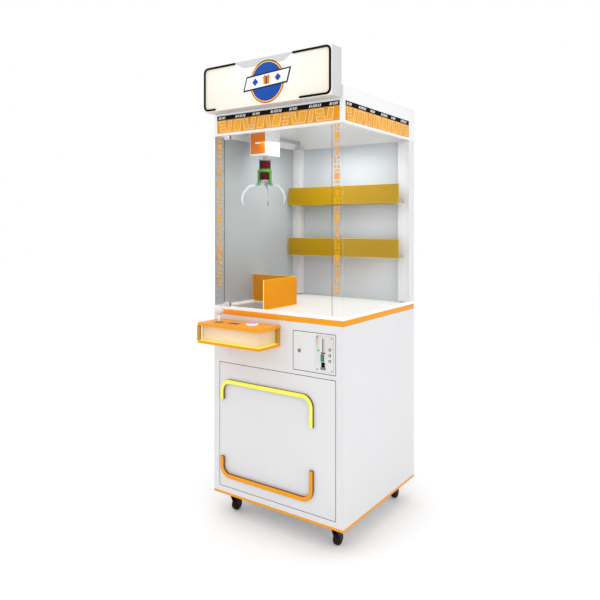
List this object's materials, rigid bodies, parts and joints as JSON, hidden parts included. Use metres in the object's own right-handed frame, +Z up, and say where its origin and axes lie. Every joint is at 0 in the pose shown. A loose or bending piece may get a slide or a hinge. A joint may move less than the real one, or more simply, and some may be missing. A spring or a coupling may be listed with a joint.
{
  "type": "claw crane machine",
  "caption": "Free-standing claw crane game on casters with a glass playfield room, travelling claw, control panel, coin door and prize door.",
  "frame": {"origin": "on the floor, under the middle of the overall box", "axes": "+Z up, front of the cabinet faces -Y, +X is the cabinet's right side seen from the front"},
  "size_m": [0.72, 0.852, 2.11],
  "materials": {
    "white_coat": "satin powder coat",
    "white_board": "smooth laminate",
    "orange_coat": "gloss powder coat",
    "orange_board": "gloss edging",
    "supply_case": "pressed case",
    "bare_steel": "satin",
    "chrome": "polished",
    "amber_acrylic": "clear amber",
    "lit_panel": "lit from inside",
    "sign_white": "lit from inside",
    "black_plastic": "gloss",
    "fascia_print": "printed panel",
    "glass": "clear",
    "mirror": "silvered",
    "lamp": "lit diffuser",
    "yellow_paint": "gloss",
    "maroon_coil": "varnished winding",
    "green_coat": "gloss",
    "display_blue": "dark window",
    "pink_button": "lit cap",
    "button_white": "gloss",
    "coin_steel": "satin",
    "return_green": "gloss",
    "tyre_black": "matt",
    "caster_black": "satin",
    "board_green": "circuit board",
    "zinc": "zinc plated"
  },
  "bodies": {
    "cabinet": {"chassis": "zinc", "base_trim": "orange_coat", "front_frame": "white_coat", "cabinet_shell": "white_coat", "rear_cover": "white_board", "top_trim": "orange_board", "playfield_deck": "white_board", "chute_duct": "white_coat", "prize_bin": "white_board", "chute_guard": "amber_acrylic", "rear_frame": "white_coat", "mirror_panel": "mirror", "fixed_panes": "glass", "roof_frame": "white_board", "fascia_panels": "fascia_print", "sign_housing": "white_board", "sign_face": "sign_white", "sign_outline": "black_plastic", "lamp_bars": "lamp", "shelves": "amber_acrylic", "side_rails": "bare_steel", "panel_top": "amber_acrylic", "panel_bottom": "amber_acrylic", "panel_body": "lit_panel", "joystick_housing": "button_white", "panel_display": "display_blue", "button_ring": "button_white", "cash_box": "zinc", "caster_mounts": "caster_black", "power_supply": "supply_case", "control_board": "board_green"},
    "bridge": {"bridge_beam": "bare_steel", "bridge_motor": "button_white"},
    "carriage": {"carriage": "white_coat", "winch_motor": "black_plastic"},
    "hoist_outer": {"hoist_tube_outer": "chrome"},
    "hoist_inner": {"hoist_tube_inner": "chrome"},
    "claw": {"claw_frame": "chrome", "claw_coil": "maroon_coil"},
    "yoke": {"claw_yoke": "green_coat"},
    "finger_1": {"prong_1": "chrome"},
    "finger_2": {"prong_2": "chrome"},
    "finger_3": {"prong_3": "chrome"},
    "gimbal": {"joystick_gimbal": "zinc"},
    "stick": {"joystick_stick": "button_white"},
    "play_button": {"button_cap": "pink_button"},
    "coin_hatch": {"coin_door": "white_coat", "coin_selector": "coin_steel"},
    "coin_button": {"coin_return": "return_green"},
    "lock": {"coin_lock": "chrome"},
    "prize_hatch": {"prize_door": "white_coat", "door_brackets": "yellow_paint"},
    "glass_hatch": {"glass_door": "glass", "glass_clamps": "chrome"},
    "fork_left": {"caster_fork_left": "caster_black"},
    "fork_right": {"caster_fork_right": "caster_black"},
    "wheel_front_left": {"caster_wheel_front_left": "tyre_black"},
    "wheel_front_right": {"caster_wheel_front_right": "tyre_black"},
    "wheel_rear_left": {"caster_wheel_rear_left": "tyre_black"},
    "wheel_rear_right": {"caster_wheel_rear_right": "tyre_black"}
  },
  "joints": [
    {"name": "bridge_travel", "type": "slide", "parent": "cabinet", "child": "bridge", "axis": [0, 1, 0], "range_m": [-0.03, 0.25]},
    {"name": "carriage_travel", "type": "slide", "parent": "bridge", "child": "carriage", "axis": [1, 0, 0], "range_m": [-0.015, 0.4]},
    {"name": "hoist", "type": "slide", "parent": "carriage", "child": "hoist_outer", "axis": [0, 0, -1], "range_m": [0, 0.105]},
    {"name": "hoist_middle", "type": "slide", "parent": "hoist_outer", "child": "hoist_inner", "axis": [0, 0, -1], "range_m": [0, 0.105]},
    {"name": "hoist_claw", "type": "slide", "parent": "hoist_inner", "child": "claw", "axis": [0, 0, -1], "range_m": [0, 0.105]},
    {"name": "claw_close", "type": "hinge", "parent": "claw", "child": "finger_1", "pos_m": [-0.173, -0.09, 1.578], "axis": [0, 1, 0], "range_deg": [0, 42]},
    {"name": "claw_close_2", "type": "hinge", "parent": "claw", "child": "finger_2", "pos_m": [-0.206, -0.07095, 1.578], "axis": [-0.866, -0.5, 0], "range_deg": [0, 42]},
    {"name": "claw_close_3", "type": "hinge", "parent": "claw", "child": "finger_3", "pos_m": [-0.206, -0.10905, 1.578], "axis": [0.866, -0.5, 0], "range_deg": [0, 42]},
    {"name": "yoke_travel", "type": "slide", "parent": "claw", "child": "yoke", "axis": [0, 0, -1], "range_m": [0, 0.01466]},
    {"name": "joystick_side", "type": "hinge", "parent": "cabinet", "child": "gimbal", "pos_m": [-0.245, -0.366, 0.901], "axis": [1, 0, 0], "range_deg": [-9, 9], "stiffness_Nm_per_rad": 0.8},
    {"name": "joystick_tilt", "type": "hinge", "parent": "gimbal", "child": "stick", "pos_m": [-0.245, -0.366, 0.901], "axis": [0, 1, 0], "range_deg": [-9, 9], "stiffness_Nm_per_rad": 0.8},
    {"name": "play_button_press", "type": "slide", "parent": "cabinet", "child": "play_button", "axis": [0, 0, -1], "range_m": [0, 0.004], "stiffness_N_per_m": 600, "springref_m": -0.002},
    {"name": "coin_door_hinge", "type": "hinge", "parent": "cabinet", "child": "coin_hatch", "pos_m": [0.3165, -0.2684, 0.83175], "axis": [0, 0, 1], "range_deg": [0, 70]},
    {"name": "coin_return_press", "type": "slide", "parent": "coin_hatch", "child": "coin_button", "axis": [0, 1, 0], "range_m": [0, 0.004], "stiffness_N_per_m": 600, "springref_m": -0.002},
    {"name": "coin_lock_turn", "type": "hinge", "parent": "coin_hatch", "child": "lock", "pos_m": [0.138, -0.274, 0.83175], "axis": [0, 1, 0], "range_deg": [0, 90]},
    {"name": "prize_door_swing", "type": "hinge", "parent": "cabinet", "child": "prize_hatch", "pos_m": [0, -0.265, 0.718], "axis": [1, 0, 0], "range_deg": [0, 40]},
    {"name": "glass_door_hinge", "type": "hinge", "parent": "cabinet", "child": "glass_hatch", "pos_m": [-0.285, -0.268, 1.395], "axis": [0, 0, -1], "range_deg": [0, 40]},
    {"name": "caster_left_swivel", "type": "hinge", "parent": "cabinet", "child": "fork_left", "pos_m": [-0.286, -0.216, 0.04], "axis": [0, 0, 1], "continuous": true},
    {"name": "caster_right_swivel", "type": "hinge", "parent": "cabinet", "child": "fork_right", "pos_m": [0.286, -0.216, 0.04], "axis": [0, 0, 1], "continuous": true},
    {"name": "wheel_front_left_spin", "type": "hinge", "parent": "fork_left", "child": "wheel_front_left", "pos_m": [-0.286, -0.194, 0.028], "axis": [1, 0, 0], "continuous": true},
    {"name": "wheel_front_right_spin", "type": "hinge", "parent": "fork_right", "child": "wheel_front_right", "pos_m": [0.286, -0.194, 0.028], "axis": [1, 0, 0], "continuous": true},
    {"name": "wheel_rear_left_spin", "type": "hinge", "parent": "cabinet", "child": "wheel_rear_left", "pos_m": [-0.286, 0.358, 0.028], "axis": [1, 0, 0], "continuous": true},
    {"name": "wheel_rear_right_spin", "type": "hinge", "parent": "cabinet", "child": "wheel_rear_right", "pos_m": [0.286, 0.358, 0.028], "axis": [1, 0, 0], "continuous": true}
  ],
  "couplings": [
    {"joint": "hoist_middle", "follows": "hoist", "ratio": 1},
    {"joint": "hoist_claw", "follows": "hoist", "ratio": 1},
    {"joint": "claw_close_2", "follows": "claw_close", "ratio": 1},
    {"joint": "claw_close_3", "follows": "claw_close", "ratio": 1},
    {"joint": "yoke_travel", "follows": "claw_close", "m_per_rad": 0.02}
  ]
}
